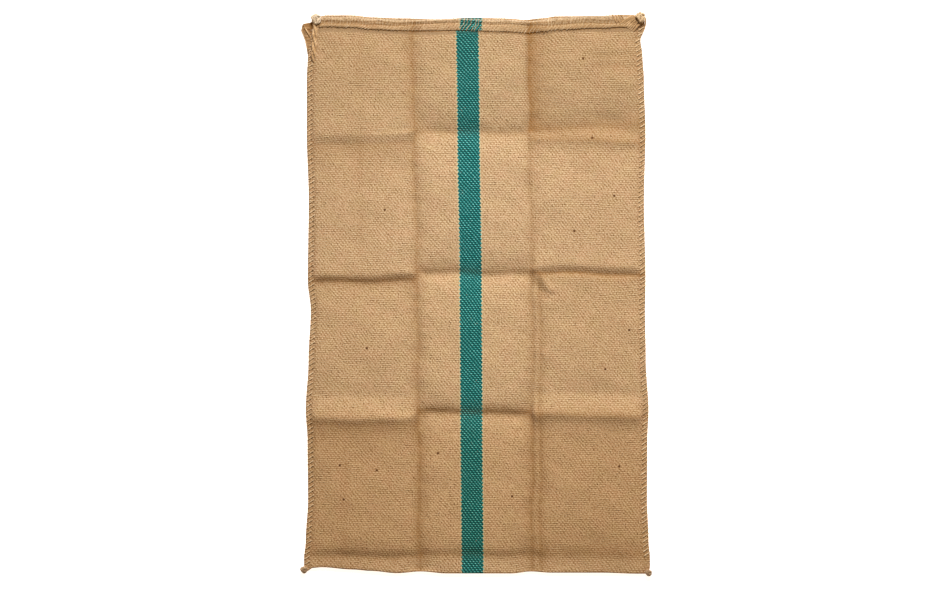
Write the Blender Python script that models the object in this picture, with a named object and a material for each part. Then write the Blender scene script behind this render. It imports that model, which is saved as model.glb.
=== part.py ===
"""An empty jute sack lying flat: one length of twill cloth folded at the bottom, sewn up both sides.

The sack lies on its back with its length along Y and its mouth at +Y. Table sizes are millimetres,
and the model is in metres. The cloth is one outer skin of two grids, front and back, that share
their side and bottom edges. A Solidify modifier gives the skin its thickness inwards, which leaves
the sack hollow and open at the mouth.
"""

import math

import bmesh
import bpy
from mathutils import Matrix, Vector

MM = 0.001

# ---- Driving sizes, mm -------------------------------------------------------------------------
LENGTH = 1112.0          # mouth to bottom fold
CLOTH = 1.4              # one layer of double-warp twill
HEM = 2.8                # the turned hem round the mouth, inside its rolls
HEM_DEPTH = 27.0         # rim to the lower edge of the hem
PLATEAU = 15.0           # top of the front layer between creases
VALLEY = 9.0             # lowest top of the front layer at a crease
LEAST_INSIDE = 0.7       # room kept between the layers where they close up
WELD = 0.00001           # joins the two grids along their shared edges, m
SEAT = 0.3               # clearance between the cloth and a knot
OFF_FLOOR = 0.3          # clearance between a knot and the floor

HALF = LENGTH / 2.0

# Packing creases: rows across the sack by their Y, and the two running down it by their X.
ROW_1, ROW_2, ROW_3, ROW_4 = 324.0, 39.0, -239.0, -524.0

# ---- Outline ------------------------------------------------------------------------------------
# y, left edge x, right edge x, how far the back layer's ear stands out past the left edge
SIDES = (
    (-556.0, -337.0, 339.2, 0.0),
    (-546.0, -339.5, 343.5, 0.0),
    (-530.0, -345.0, 346.5, 0.0),
    (-492.0, -342.0, 344.0, 0.0),
    (-412.0, -336.0, 340.0, 0.0),
    (-292.0, -336.0, 338.0, 0.0),
    (-232.0, -342.0, 344.0, 0.0),
    (-132.0, -335.0, 338.0, 0.0),
    (-32.0, -332.0, 337.0, 0.0),
    (28.0, -338.0, 338.0, 0.0),
    (188.0, -336.0, 335.0, 0.0),
    (324.0, -340.0, 338.0, 0.0),
    (428.0, -340.0, 335.0, 0.0),
    (478.0, -338.0, 332.0, 0.0),
    (508.0, -334.0, 328.0, 9.0),
    (528.0, -331.0, 334.0, 20.5),
    (540.0, -330.5, 336.0, 14.0),
    (552.0, -330.0, 336.0, 1.0),
    (562.0, -330.0, 336.0, 0.0),
)
# x, y of the mouth rim
MOUTH = (
    (-332.0, 550.0), (-312.0, 550.5), (-292.0, 558.0), (-250.0, 558.0), (-210.0, 554.0),
    (-150.0, 552.0), (-80.0, 550.0), (-10.0, 553.0), (50.0, 552.0), (100.0, 549.0),
    (130.0, 552.0), (160.0, 556.0), (240.0, 557.0), (296.0, 559.0), (316.0, 552.5),
    (336.0, 552.0),
)
# x, y of the bottom fold
BOTTOM = (
    (-342.0, -545.0), (-305.0, -546.0), (-250.0, -552.0), (-210.0, -554.0), (-160.0, -558.0),
    (-112.0, -554.0), (-60.0, -558.0), (70.0, -558.0), (108.0, -554.0), (150.0, -556.0),
    (250.0, -556.0), (322.0, -558.0), (342.0, -553.2),
)
# y, x of the left packing crease, x of the right packing crease
DOWN_CREASES = (
    (-556.0, -114.0, 112.0),
    (-239.0, -116.0, 112.0),
    (39.0, -118.0, 111.0),
    (324.0, -124.0, 106.0),
    (556.0, -127.0, 106.0),
)

# ---- Creases ------------------------------------------------------------------------------------
# A row for each fold: start x and y, end x and y, height (troughs are negative), how far the fold
# reaches on the left and on the right of its direction, and the length over which its ends fade.
CREASES = (
    # down the left third
    (-127.0, 590.0, -124.0, 324.0, -4.2, 26.0, 12.0, 10.0),
    (-124.0, 324.0, -118.0, 39.0, -4.0, 24.0, 12.0, 10.0),
    (-118.0, 39.0, -116.0, -239.0, -4.6, 24.0, 14.0, 10.0),
    (-116.0, -239.0, -114.0, -556.0, -5.4, 24.0, 14.0, 10.0),
    # down the right third: one crease above, which doubles below the middle
    (106.0, 590.0, 106.0, 324.0, -5.0, 30.0, 9.0, 10.0),
    (106.0, 324.0, 111.0, 39.0, -3.0, 26.0, 12.0, 10.0),
    (112.0, 39.0, 112.0, -556.0, -3.4, 7.0, 14.0, 10.0),
    (127.0, 39.0, 128.0, -556.0, -2.6, 16.0, 7.0, 10.0),
    # across the left third, where the cloth was folded the other way and stands in ridges
    (-350.0, 327.0, -126.0, 325.0, 2.6, 50.0, 16.0, 20.0),
    (-350.0, 292.0, -126.0, 292.0, -2.4, 12.0, 60.0, 20.0),
    (-350.0, 53.0, -120.0, 50.0, 2.4, 46.0, 13.0, 20.0),
    (-350.0, 25.0, -120.0, 24.0, -4.4, 11.0, 30.0, 20.0),
    (-350.0, -190.0, -118.0, -190.0, -1.8, 34.0, 18.0, 20.0),
    (-350.0, -247.0, -118.0, -245.0, 5.2, 34.0, 12.0, 20.0),
    (-350.0, -276.0, -118.0, -274.0, -2.6, 10.0, 56.0, 20.0),
    (-350.0, -526.0, -118.0, -526.0, -4.4, 26.0, 12.0, 12.0),
    # across the middle third, all troughs
    (-126.0, 324.0, 106.0, 324.0, -5.4, 36.0, 24.0, 10.0),
    (-120.0, 39.0, 110.0, 39.0, -5.4, 26.0, 20.0, 10.0),
    (-118.0, -239.0, 111.0, -239.0, -6.0, 19.0, 17.0, 10.0),
    (-116.0, -524.0, 111.0, -524.0, -4.8, 22.0, 12.0, 10.0),
    # across the right third
    (108.0, 329.0, 350.0, 328.0, -4.0, 36.0, 12.0, 16.0),
    (108.0, 308.0, 350.0, 308.0, 1.4, 10.0, 9.0, 16.0),
    (112.0, 59.0, 350.0, 57.0, 3.4, 26.0, 10.0, 16.0),
    (112.0, 42.0, 350.0, 41.0, -3.4, 7.0, 11.0, 16.0),
    (108.0, 38.0, 158.0, -22.0, -2.6, 11.0, 13.0, 12.0),
    (114.0, -180.0, 350.0, -182.0, -1.6, 26.0, 22.0, 16.0),
    (114.0, -236.0, 350.0, -236.0, 4.6, 34.0, 12.0, 16.0),
    (114.0, -264.0, 350.0, -264.0, -2.4, 10.0, 50.0, 16.0),
    (114.0, -522.0, 350.0, -520.0, -3.8, 36.0, 18.0, 12.0),
    # the mouth sinks between its corners
    (-330.0, 545.0, 330.0, 545.0, -2.6, 40.0, 70.0, 60.0),
)
CREASE_ROUND = 2.5       # radius that softens the bottom of every fold
RIDGE_LIFT = 0.28        # share of a ridge's height by which it lifts the back layer off the floor
BACK_LIFT_MOST = 1.3

# ---- Sections through the edges -----------------------------------------------------------------
# distance in from the edge, height of the top surface
SEAM_SECTION = ((0.0, 2.6), (1.3, 4.4), (4.2, 5.5), (8.5, 4.9), (17.0, 9.6), (38.0, 13.0), (80.0, 18.0))
EAR_SECTION = ((0.0, 1.8), (1.3, 3.5), (4.2, 3.7), (8.5, 6.2), (17.0, 9.6), (38.0, 13.0), (80.0, 18.0))
FOLD_SECTION = ((0.0, 4.4), (1.3, 7.0), (4.6, 8.8), (14.0, 10.4), (30.0, 12.5), (60.0, 18.0))
# distance in from the rim, height of the hem's rolls over the cloth
HEM_SECTION = ((0.0, 1.2), (4.0, 2.2), (12.0, 1.4), (20.0, 2.1), (26.0, 1.6), (28.5, 0.0), (90.0, 0.0))
EAR_FULL = 10.0          # an ear this wide lies flat under the seam
HEM_START = 10.0         # the hem reaches its full height this far in from a side edge
MELT = 0.9               # how softly two limits on the height meet

# ---- Grid lines ---------------------------------------------------------------------------------
# Columns of the grid: what each is measured from, and how far to its right it lies
COLUMNS = (
    ("left", 0.0), ("left", 1.3), ("left", 4.2), ("left", 8.5), ("left", 17.0), ("left", 38.0),
    ("left", 110.0),
    ("left_crease", -32.0), ("left_crease", -11.0), ("left_crease", 0.0), ("left_crease", 12.0),
    ("left_crease", 34.0), ("left_crease", 80.0),
    ("right_crease", -80.0), ("right_crease", -30.0), ("right_crease", -9.0), ("right_crease", 0.0),
    ("right_crease", 7.5), ("right_crease", 15.0), ("right_crease", 40.0),
    ("right", -110.0),
    ("right", -38.0), ("right", -17.0), ("right", -8.5), ("right", -4.2), ("right", -1.3),
    ("right", 0.0),
)
# Rows of the grid, from the bottom fold to the mouth rim
ROWS = (
    ("bottom", 0.0), ("bottom", 1.3), ("bottom", 4.6), ("bottom", 14.0), ("bottom", 24.0),
    ("row_4", 0.0), ("row_4", 12.0), ("row_4", 36.0),
    ("row_4", 115.0),
    ("row_3", -70.0), ("row_3", -34.0), ("row_3", -20.0), ("row_3", -6.0), ("row_3", 2.0),
    ("row_3", 14.0), ("row_3", 42.0),
    ("row_3", 130.0),
    ("row_2", -60.0), ("row_2", -14.0), ("row_2", 0.0), ("row_2", 6.0), ("row_2", 19.0),
    ("row_2", 42.0),
    ("row_2", 145.0),
    ("row_1", -70.0), ("row_1", -32.0), ("row_1", -16.0), ("row_1", 0.0), ("row_1", 5.0),
    ("row_1", 34.0), ("row_1", 80.0),
    ("mouth", -75.0), ("mouth", -50.0), ("mouth", -28.5), ("mouth", -26.0), ("mouth", -20.0),
    ("mouth", -12.0), ("mouth", -4.0), ("mouth", 0.0),
)
ROW_DATUMS = {
    "bottom": -HALF, "row_4": ROW_4, "row_3": ROW_3, "row_2": ROW_2, "row_1": ROW_1, "mouth": HALF,
}
EAR_COLUMNS = 2          # the first columns, which run round the ear
SEAM_COLUMNS = 5         # the first columns, which take their height from the seam's section
END_REACH = 150.0        # how far in from an end the grid rows follow that end's uneven line
SETTLE = 4               # passes that settle where a leaning column crosses an uneven row

# ---- Knots --------------------------------------------------------------------------------------
# name, side and end of the corner it sits at, how far in from that corner along the end,
# height of the cloth's edge there, its bearing from the edge in degrees,
# half its length across that bearing, half its width along it
KNOTS = (
    ("knot_bottom_left", "left", "bottom", 0.0, 2.5, 222.0, 6.8, 5.2),
    ("knot_bottom_right", "right", "bottom", 0.0, 2.5, 318.0, 6.8, 5.2),
    ("knot_mouth_left", "left", "mouth", 7.5, 5.0, 94.0, 7.8, 5.4),
    ("knot_mouth_right", "right", "mouth", 7.0, 5.0, 86.0, 8.4, 5.0),
)
KNOT_HIGH = 4.4          # half of every knot's height
KNOT_TURNS = 3           # raised turns of twine on each knot
KNOT_RIDGE = 0.09        # their height as a share of the radius
KNOT_FULL = KNOT_HIGH * (1.0 + KNOT_RIDGE)
KNOT_Z = KNOT_FULL + OFF_FLOOR
KNOT_AROUND = 16
KNOT_ALONG = 13

# ---- Finishes -----------------------------------------------------------------------------------
JUTE = (0.58, 0.36, 0.17, 1.0)
TWINE = (0.66, 0.45, 0.24, 1.0)


def between(value, table):
    """The two rows of a table that a value lies between, and its share of the way."""
    value = min(max(value, table[0][0]), table[-1][0])
    upper = next(index for index in range(1, len(table)) if value <= table[index][0])
    low, high = table[upper - 1], table[upper]
    return low, high, (value - low[0]) / (high[0] - low[0])


def eased(value, table, column):
    """A smooth reading of one column of a table whose first column rises."""
    low, high, share = between(value, table)
    share = share * share * (3.0 - 2.0 * share)
    return low[column] * (1.0 - share) + high[column] * share


def straight(value, table):
    """A straight-line reading of a two-column table."""
    low, high, share = between(value, table)
    return low[1] * (1.0 - share) + high[1] * share


def lower_of(a, b):
    """The lower of two heights, melting into each other where they meet."""
    least = min(a, b)
    return least - MELT * math.log(math.exp((least - a) / MELT) + math.exp((least - b) / MELT))


def fold_height(x, y, fold):
    """The height that one fold adds at a place."""
    x0, y0, x1, y1, height, reach_left, reach_right, fade = fold
    length = math.hypot(x1 - x0, y1 - y0)
    along_x, along_y = (x1 - x0) / length, (y1 - y0) / length
    along = (x - x0) * along_x + (y - y0) * along_y
    aside = (y - y0) * along_x - (x - x0) * along_y
    reach = reach_left if aside > 0.0 else reach_right
    depth = math.exp(-(math.hypot(aside, CREASE_ROUND) - CREASE_ROUND) / reach)
    end = min(max(min(along, length - along) / fade + 0.5, 0.0), 1.0)
    return height * depth * end * end * (3.0 - 2.0 * end)


def relief(x, y):
    """The height of the front layer's top surface away from the edges."""
    full = PLATEAU - VALLEY
    share, raised = 1.0, 0.0
    for fold in CREASES:
        height = fold_height(x, y, fold)
        share *= 1.0 + min(height, 0.0) / full
        raised += max(height, 0.0)
    return VALLEY + full * share + raised


def back_lift(x, y):
    """How far the ridges lift the back layer's underside off the floor."""
    ridges = sum(fold_height(x, y, fold) for fold in CREASES if fold[4] > 0.0)
    return min(RIDGE_LIFT * ridges, BACK_LIFT_MOST)


def column_x(index, y):
    """Where a column line of the grid runs at a height up the sack."""
    datum, offset = COLUMNS[index]
    left, right = eased(y, SIDES, 1), eased(y, SIDES, 2)
    datums = {
        "left": left,
        "right": right,
        "left_crease": eased(y, DOWN_CREASES, 1),
        "right_crease": eased(y, DOWN_CREASES, 2),
    }
    x = datums[datum] + offset
    ear = eased(y, SIDES, 3)
    return x - ear if index < EAR_COLUMNS else x


def row_y(index, x):
    """Where a row line of the grid runs at a place across the sack."""
    datum, offset = ROWS[index]
    y = ROW_DATUMS[datum] + offset
    near_mouth = max(0.0, 1.0 - (HALF - y) / END_REACH)
    near_bottom = max(0.0, 1.0 - (HALF + y) / END_REACH)
    y += near_mouth * (eased(x, MOUTH, 1) - HALF)
    return y + near_bottom * (eased(x, BOTTOM, 1) + HALF)


def front_height(x, y, column, row):
    """The height of the front layer's top surface at a crossing of the grid."""
    left_in = x - eased(y, SIDES, 1)
    right_in = eased(y, SIDES, 2) - x
    top = relief(x, y)
    ear = min(eased(y, SIDES, 3) / EAR_FULL, 1.0)
    if column < SEAM_COLUMNS:
        offset = COLUMNS[column][1]
        side = straight(offset, SEAM_SECTION) * (1.0 - ear) + straight(offset, EAR_SECTION) * ear
    else:
        side = straight(min(left_in, right_in), SEAM_SECTION)
    from_bottom = y - eased(x, BOTTOM, 1)
    side = lower_of(side, straight(from_bottom, FOLD_SECTION))
    top = lower_of(top, side)
    if ROWS[row][0] == "mouth":
        inside = min(max(min(left_in, right_in) / HEM_START, 0.0), 1.0)
        top += straight(-ROWS[row][1], HEM_SECTION) * inside
    return top


def thickness(top, row):
    """How thick the cloth is at a crossing of the grid."""
    wanted = HEM if ROWS[row][0] == "mouth" and -ROWS[row][1] < HEM_DEPTH else CLOTH
    return min(wanted, (top - LEAST_INSIDE) / 2.0)


def material(name, colour, roughness):
    """A plain cloth finish."""
    made = bpy.data.materials.new(name)
    made.use_nodes = True
    shader = made.node_tree.nodes["Principled BSDF"]
    shader.inputs["Base Color"].default_value = colour
    shader.inputs["Roughness"].default_value = roughness
    shader.inputs["Metallic"].default_value = 0.0
    return made


def grid_layer(skin, front):
    """One layer of the skin as a grid, with each point's wanted thickness in its list."""
    across, up = len(COLUMNS), len(ROWS)
    made = bmesh.ops.create_grid(skin, x_segments=across - 1, y_segments=up - 1, size=1.0)
    wanted = []
    for point in made["verts"]:
        column = round((point.co.x + 1.0) / 2.0 * (across - 1))
        row = round((point.co.y + 1.0) / 2.0 * (up - 1))
        y = row_y(row, 0.0)
        for _ in range(SETTLE):
            x = column_x(column, y)
            y = row_y(row, x)
        top = front_height(x, y, column, row)
        edge = column in (0, across - 1) or row == 0
        z = top if front or edge else back_lift(x, y)
        point.co = Vector((x, y, z)) * MM
        wanted.append((point, thickness(top, row)))
    if not front:
        faces = {face for point in made["verts"] for face in point.link_faces}
        bmesh.ops.reverse_faces(skin, faces=list(faces))
    return wanted


def sack_cloth(finish):
    """The whole cloth: front and back layers joined at the sides and the bottom fold."""
    skin = bmesh.new()
    weights = skin.verts.layers.deform.verify()
    for point, wanted in grid_layer(skin, True) + grid_layer(skin, False):
        point[weights][0] = wanted / HEM
    bmesh.ops.remove_doubles(skin, verts=skin.verts, dist=WELD)
    mesh = bpy.data.meshes.new("sack_cloth")
    skin.to_mesh(mesh)
    skin.free()
    cloth = bpy.data.objects.new("sack_cloth", mesh)
    bpy.context.collection.objects.link(cloth)
    cloth.vertex_groups.new(name="thickness")
    shell = cloth.modifiers.new("thickness", "SOLIDIFY")
    shell.thickness = HEM * MM
    shell.offset = -1.0
    shell.vertex_group = "thickness"
    mesh.materials.append(finish)
    mesh.shade_smooth()
    return cloth


def end_point(side, end, inward):
    """A place on the mouth rim or the bottom fold, a little in from a corner of the cloth."""
    column = 0 if side == "left" else len(COLUMNS) - 1
    row = 0 if end == "bottom" else len(ROWS) - 1
    y = row_y(row, 0.0)
    for _ in range(SETTLE):
        x = column_x(column, y)
        y = row_y(row, x)
    x += inward if side == "left" else -inward
    return x, row_y(row, x)


def knot(name, side, end, inward, edge_z, bearing, half_long, half_wide, finish):
    """A twine end knotted off: a small lump with the raised turns of its twine."""
    lump = bmesh.new()
    bmesh.ops.create_uvsphere(lump, u_segments=KNOT_AROUND, v_segments=KNOT_ALONG, radius=1.0)
    for point in lump.verts:
        ridge = 1.0 + KNOT_RIDGE * math.cos(KNOT_TURNS * math.pi * point.co.z)
        long, wide, high = -point.co.z, point.co.x * ridge, point.co.y * ridge
        point.co = Vector((wide * half_wide, long * half_long, high * KNOT_HIGH)) * MM
    mesh = bpy.data.meshes.new(name)
    lump.to_mesh(mesh)
    lump.free()
    made = bpy.data.objects.new(name, mesh)
    bpy.context.collection.objects.link(made)
    angle = math.radians(bearing)
    x, y = end_point(side, end, inward)
    narrowing = math.sqrt(1.0 - ((edge_z - KNOT_Z) / KNOT_FULL) ** 2)
    away = half_wide * (1.0 + KNOT_RIDGE) * narrowing + SEAT
    place = Vector((x + away * math.cos(angle), y + away * math.sin(angle), KNOT_Z)) * MM
    made.matrix_world = Matrix.Translation(place) @ Matrix.Rotation(angle, 4, "Z")
    mesh.materials.append(finish)
    mesh.shade_smooth()
    return made


def main():
    for old in list(bpy.data.objects):
        bpy.data.objects.remove(old)
    jute = material("jute_twill", JUTE, 0.85)
    twine = material("jute_twine", TWINE, 0.8)
    sack_cloth(jute)
    for row in KNOTS:
        knot(*row, twine)


main()
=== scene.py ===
"""The finish of an empty jute sack that lies flat on its back, mouth at +Y.

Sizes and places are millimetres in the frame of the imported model, and the meshes are made in metres.
The cloth is one closed mesh: a fine grid whose lines follow the warp and the weft, an outer skin that
turns under at the sides and the bottom fold, and an inner skin that joins it round the mouth. The
sewing, the corner knots and the loose fibres are twisted tubes laid over it.
"""

import math

import bpy
import numpy as np
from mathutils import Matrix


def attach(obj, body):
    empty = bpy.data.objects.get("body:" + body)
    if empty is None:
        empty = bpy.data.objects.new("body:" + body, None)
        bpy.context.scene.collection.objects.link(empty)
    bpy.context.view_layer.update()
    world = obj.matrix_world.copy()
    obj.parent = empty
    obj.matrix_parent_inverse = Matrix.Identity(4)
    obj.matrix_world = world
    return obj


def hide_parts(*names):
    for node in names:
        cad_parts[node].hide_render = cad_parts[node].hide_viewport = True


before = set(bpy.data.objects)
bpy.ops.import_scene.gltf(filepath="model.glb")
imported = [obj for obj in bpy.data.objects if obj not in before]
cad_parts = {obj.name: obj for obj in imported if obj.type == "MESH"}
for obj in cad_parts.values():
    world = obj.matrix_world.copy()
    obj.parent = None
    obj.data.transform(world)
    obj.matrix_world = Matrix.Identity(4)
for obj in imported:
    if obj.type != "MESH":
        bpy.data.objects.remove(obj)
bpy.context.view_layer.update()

MM = 0.001
TAU = 2.0 * math.pi

# ---- Driving sizes, mm, as the solids have them ----
LENGTH = 1112.0  # mouth to bottom fold
CLOTH = 1.4  # one layer of double-warp twill
PLATEAU = 15.0  # top of the front layer between creases
VALLEY = 9.0  # lowest top of the front layer at a crease
HALF = LENGTH / 2.0
ROWS = (324.0, 39.0, -239.0, -524.0)  # the folds across the sack

# y, left edge x, right edge x, how far the back layer's ear stands out past the left edge
SIDES = (
    (-556, -342, 344.5, 0), (-546, -345.5, 347, 0), (-530, -345.5, 347, 0),
    (-492, -342, 344, 0), (-412, -337.5, 341, 0), (-292, -338.5, 341.5, 0),
    (-232, -342, 344, 0), (-132, -336.5, 338.5, 0), (-32, -332, 337, 0),
    (28, -338, 338, 0), (188, -336, 335, 0), (324, -340, 338, 0),
    (428, -340, 335, 0), (478, -338, 332, 0), (508, -334, 328, 9),
    (528, -331, 334, 20.5), (540.5, -330.5, 336, 18.5), (544, -330, 336, 0.6),
    (562, -330, 336, 0),
)
# x, y of the mouth rim
MOUTH = (
    (-332, 550), (-320, 555), (-300, 558), (-250, 558), (-210, 554),
    (-150, 552), (-80, 550), (-10, 553), (50, 552), (100, 549),
    (130, 552), (160, 556), (240, 557), (296, 559), (322, 558), (336, 553),
)
# x, y of the bottom fold
BOTTOM = (
    (-346, -557), (-339, -554), (-328, -548), (-310, -546.5), (-250, -551),
    (-210, -554), (-160, -558.5), (-112, -555), (-60, -559), (70, -559),
    (108, -555), (150, -557.5), (250, -557.5), (322, -559.5), (346, -559.5),
)
# y, x of the left packing crease, of the stripe's middle and of the right packing crease
WARPS = (
    (-556, -114, -8, 112),
    (-239, -116, -10.5, 112),
    (39, -118, -12, 111),
    (324, -124, -16, 106),
    (556, -127, -18.5, 106),
)
# A row for each fold: start x and y, end x and y, height (troughs are negative), how far the fold
# reaches on the left and on the right of its direction, the length over which its ends fade, and how
# much painted shade darkens its line.
CREASES = (
    # down the left third
    (-129, 590, -126, 324, -4.8, 17, 26, 10, 0.17),
    (-125.5, 324, -119.5, 39, -4.5, 14, 12, 10, 0.15),
    (-118.5, 39, -116.5, -239, -4.6, 14, 24, 10, 0.17),
    (-116, -239, -114, -556, -4.6, 20, 14, 10, 0.21),
    # down the right third: one crease above, which doubles below the middle
    (104.5, 590, 105, 324, -6, 60, 6, 10, 0.26),
    (105, 324, 110, 39, -3.2, 22, 8, 10, 0.13),
    (112, 39, 112, -239, -3.8, 5, 20, 10, 0.14),
    (126.5, 39, 126.5, -239, -2.6, 15, 5, 10, 0.15),
    (112, -239, 112, -556, -3.8, 6, 25, 10, 0.20),
    (126.5, -239, 127.5, -556, -2.8, 18, 6, 10, 0.18),
    # faint lines where the left third was once folded
    (-232, 520, -233, 70, -0.4, 6, 6, 60, 0.05),
    (-265, -330, -265, -540, -0.4, 6, 6, 40, 0.05),
    # across the left third, where the cloth was folded the other way and stands in ridges
    (-350, 315, -126, 323, 1.5, 60, 8, 20, 0),
    (-350, 297, -126, 304, -1.2, 8, 110, 20, 0.08),
    (-350, 37, -120, 40, 2, 44, 8, 20, 0),
    (-350, 27, -120, 30, -0.3, 6, 8, 20, 0.21),
    (-350, 22, -120, 25, -2.2, 7, 30, 20, 0.07),
    (-350, -205, -118, -201, -2.1, 24, 22, 20, 0),
    (-350, -249, -118, -246, 3.9, 20, 14, 20, 0),
    (-350, -259, -118, -256, -0.8, 8, 70, 20, 0.12),
    (-350, -524.5, -118, -524.5, -2.7, 15, 28, 12, 0.10),
    # across the middle third, all troughs
    (-126, 323, 106, 323, -5.5, 27, 22, 10, 0.10),
    (-120, 39, 110, 39, -5, 20, 19, 10, 0.05),
    (-120, 46, 110, 46, -0.3, 8, 6, 10, 0.13),
    (-118, -240, 111, -240, -4.9, 14, 24, 10, 0.08),
    (-118, -234, 111, -234, -0.4, 9, 6, 10, 0.22),
    (-116, -520, 111, -520, -2.3, 14, 24, 10, 0.08),
    # across the right third
    (108, 326, 350, 346, -6.4, 34, 60, 16, 0.13),
    (108, 307, 350, 305, 1.9, 15, 7, 16, 0.10),
    (112, 58, 350, 54, 2, 22, 8, 16, 0),
    (112, 43, 350, 39, -2.1, 6, 10, 16, 0.26),
    (112, 33, 350, 29, 1, 5, 12, 16, 0.03),
    (112, 54, 154, 2, 2.2, 5, 6, 12, 0),
    (106, 44, 144, -8, -1.9, 6, 9, 12, 0.06),
    (114, -198, 350, -200, -2.1, 22, 22, 16, 0),
    (114, -242, 350, -244, 4.1, 22, 11.5, 16, 0.11),
    (114, -519, 350, -517, -2.8, 40, 60, 12, 0.08),
    (236, 478, 330, 480, -0.8, 10, 10, 24, 0.05),
    (236, 458, 330, 456, -1, 12, 16, 24, 0.06),
    # the mouth sinks between its corners
    (-330, 545, 330, 545, -2.6, 40, 70, 60, 0),
)
TROUGH_ROUND = 0.28  # the radius that softens a trough's bottom, as a share of its shorter reach
LEAST_ROUND = 2.0
RIDGE_ROUND = 0.5  # the same for the top of a ridge, as a share of its reach on that side
LEAST_RIDGE, MOST_RIDGE = 4.0, 10.0
FOLD_SHADE_REACH = 2.0  # how far the painted shade beside a fold's line reaches, more where the fold reaches far
FOLD_SHADE_SPREAD = 0.35
RIDGE_LIFT = 0.28  # share of a ridge's height by which it lifts the back layer off the floor
BACK_LIFT_MOST = 1.3
MELT = 0.9  # how softly two limits on the height meet
FOLD_DEPTH = 1.6  # the cloth's folds against those of its plain solid
# seed, number, shortest and longest length, and height of the waves: slack cloth, small rumples
SLACK = (3, 16, 45.0, 150.0, 0.45)
RUMPLES = (5, 18, 14.0, 34.0, 0.22)
RUMPLED = 1.25  # the rumples grow from a little on flat cloth to this in the deepest folds
FLAT_EDGE = 4.0  # the folds run out from FULL_FOLDS to this height, at the seams and the bottom
FULL_FOLDS = 12.5
LEAST_TOP = 4.8  # no fold sinks lower than this

# ---- Sections through the edges ----
# distance in from the edge, height of the top surface
SEAM_SECTION = ((0.0, 2.6), (1.3, 4.4), (4.2, 5.5), (8.5, 4.9), (17.0, 9.6), (38.0, 13.0), (80.0, 18.0))
EAR_SECTION = ((0.0, 1.8), (1.0, 3.6), (3.0, 4.8), (5.5, 4.4), (8.0, 2.9), (14.0, 3.2), (40.0, 3.4))
FOLD_SECTION = (
    (0, 4.8), (0.4, 7.4), (1, 8.8), (2.2, 9.6), (5, 10.1), (14, 10.6), (30, 12), (60, 18),
)
# share of the hem's depth, height of its rolls over the cloth, with a sharp turned edge below
HEM_SECTION = (
    (0, 0), (0.02, 0.9), (0.06, 1.8), (0.12, 2.3), (0.18, 2.3), (0.24, 1.9), (0.30, 1.3),
    (0.35, 1), (0.40, 1.1), (0.47, 1.5), (0.56, 1.8), (0.68, 1.9), (0.80, 1.8), (0.89, 1.6),
    (0.95, 1.4), (0.985, 1), (1, 0.5), (0.992, 0.1), (1.03, 0), (1.12, 0),
)
HEM_TOP_ROWS = 17  # rows of that table down to the turned edge
# x, depth of the hem from the rim to its turned edge
HEM_DEPTHS = (
    (-330, 21), (-290, 21), (-250, 22), (-200, 23), (-150, 23), (-100, 23),
    (0, 25), (60, 26), (125, 25.5), (180, 26), (250, 25), (300, 23), (336, 22),
)
FRONT_SET_BACK = 3.6  # how far the front rim lies behind the back rim, which peeks past it
SET_BACK_IN = 4.0, 26.0  # it grows between these distances from a side
SET_BACK_DOWN = 8.0, 45.0  # and runs out between these distances below the rim
EDGE_TURN = 3.6  # reach of the round turn under each side
FOLD_TURN = 5.0  # reach of the round turn at the bottom fold
STITCH_LIFT = 1.1  # room under the seams for the twine that passes below
STITCH_ROOM = 9.0, 17.0  # that room runs out between these distances from a side
INNER_EDGE = 2.6  # the inner skin starts this far in from the sides and the fold
INNER_GAP = 0.35  # least room inside
INNER_OPEN = 6.0  # within this distance of the rim it comes back out to the edges
RIM_ROUND = 2.2  # reach of the round rim of the mouth
HEM_CORE = 1.6  # the hem's thickness below its rolls
GROOVE_DROP = 0.23  # how far the hem's groove drops towards the sides, as a share of its depth
HEM_MIDDLE = -12.0  # x of the hem's middle
HEM_OUTER = 112.0, 168.0  # its sides begin between these distances from there
HEM_START = 10.0  # the hem reaches its full height this far in from a side
BACK_HEM_LIFT = 3.6  # the back layer rides up over its own hem
HEM_LIFT_DOWN = 24.0, 70.0  # and comes down between these distances below the rim
HEM_SHIFT = 7.0  # the stripe on the turned hem lies this far to the right of the cloth's
HEM_ROOM = 32.0  # the hem's own lines start within this distance of the mouth
NO_HEM = 2.0  # the share of a line outside the hem
RIM_GREYING = 0.03, 0.13  # the rims' grey ends between these shares of the hem; on the back rim it is painted shade
INNER_HEM_ROWS = (1.12, 0.80, 0.40, 0.18, 0.06, 0.02, 0.0)
FOLD_ROWS = (0.0, 0.5, 1.3, 2.6, 4.6)
SETTLE = 4  # passes that settle where a leaning warp crosses an uneven weft

# ---- Painted shade and darker tones at the edges: how much the cloth is darkened there ----
GROOVE, GROOVE_WIDE = 0.33, 0.13  # the hem's groove, as shares of its depth
GROOVE_SHADE = 0.06  # painted shade in the hem's groove, twice that over the left third
LEFT_THIRD = -140.0, -20.0  # which ends between these
# a darker lower roll of the hem, more towards its sides
ROLL_DARKENING, OUTER_ROLL_DARKENING = 0.02, 0.05
ROLL_FROM = 0.35, 0.6  # the lower roll begins between these shares
# painted shadow on the line below the hem's turned edge
BELOW_HEM, BELOW_WIDE, BELOW_HEM_SHADOW = 1.04, 0.05, 0.32
# darker along the seams, with painted shade under each stitch
SEAM_DARKENING, PRESSED_SHADE = 0.03, 0.04
SEAM_DARK_IN = 8.0, 14.0  # the darkening beside the seams ends between these distances
HOLE_SHADE, HOLE_WIDE = 0.16, 2.2  # painted shade in the needle's holes
# the ear darker, with a painted shadow along the front layer's edge over it
FLAP_FROM = 1.0, 6.0
FLAP_DARKENING, FLAP_EDGE_SHADOW, FLAP_EDGE_WIDE = 0.09, 0.24, 1.5
# painted shade where the cloth turns under at the bottom fold
BOTTOM_SHADE, BOTTOM_UP = 0.24, (0.6, 2.6)
# painted shade towards both sides, where the light falls off
SIDES_SHADE, SIDES_FROM = 0.045, (60.0, 260.0)


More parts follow.
